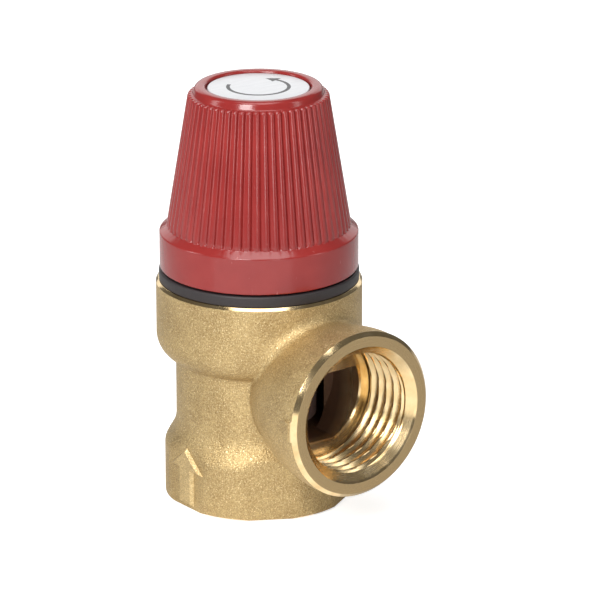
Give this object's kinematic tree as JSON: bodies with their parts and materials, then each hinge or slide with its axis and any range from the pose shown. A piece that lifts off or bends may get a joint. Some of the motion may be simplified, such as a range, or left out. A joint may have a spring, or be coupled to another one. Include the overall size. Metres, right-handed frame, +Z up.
{
  "type": "pressure relief valve",
  "caption": "Angle pattern diaphragm relief valve in cast brass, threaded female inlet below and outlet at the side, ribbed red knob that turns to lift the valve for testing.",
  "frame": {"origin": "centre of the inlet end face, where the inlet pipe meets the valve", "axes": "+Z up along the valve axis from the inlet to the knob, +X along the outlet branch, +Y completes the right-handed frame"},
  "size_m": [0.0413, 0.0316, 0.0649],
  "materials": {
    "cast_brass": "shot-blasted casting, matt with fine sparkle",
    "turned_brass": "turned, bright with fine tool rings",
    "stainless_steel": "stamped and tumbled stainless steel",
    "spring_steel": "drawn spring wire, satin",
    "black_nylon": "glass-filled nylon, matt",
    "black_rubber": "moulded EPDM rubber",
    "red_plastic": "moulded ABS, satin gloss with light scuffs",
    "label_foil": null
  },
  "bodies": {
    "valve_body": {"valve_casting": "cast_brass", "diaphragm": "black_rubber", "diaphragm_clamp_ring": "black_nylon", "bonnet": "black_nylon", "spring_top_washer": "stainless_steel", "adjusting_nut": "turned_brass", "adjuster_lock_ring": "turned_brass", "main_spring": "spring_steel"},
    "lifter": {"lift_washer": "stainless_steel"},
    "knob": {"knob": "red_plastic", "knob_label": "label_foil"},
    "stem": {"spindle": "turned_brass", "seal_nut": "turned_brass", "seal_washer": "stainless_steel", "seal_disc": "black_rubber", "obturator": "black_nylon", "diaphragm_support_washer": "stainless_steel", "diaphragm_plate": "stainless_steel", "spring_seat": "stainless_steel", "stem_lock_washer": "stainless_steel", "stem_nut": "turned_brass"}
  },
  "joints": [
    {"name": "knob_lift", "type": "slide", "parent": "valve_body", "child": "lifter", "axis": [0, 0, 1], "range_m": [0, 0.0016], "deforming": ["main_spring", "diaphragm"]},
    {"name": "knob_turn", "type": "hinge", "parent": "lifter", "child": "knob", "pos_m": [0, 0, 0.0546], "axis": [0, 0, 1], "range_deg": [0, 80]},
    {"name": "pressure_lift", "type": "slide", "parent": "lifter", "child": "stem", "axis": [0, 0, 1], "range_m": [0, 0.0015], "stiffness_N_per_m": 10000, "springref_m": -0.0002, "deforming": ["main_spring", "diaphragm"]}
  ],
  "couplings": [
    {"joint": "knob_turn", "follows": "knob_lift", "rad_per_m": 872.66}
  ]
}
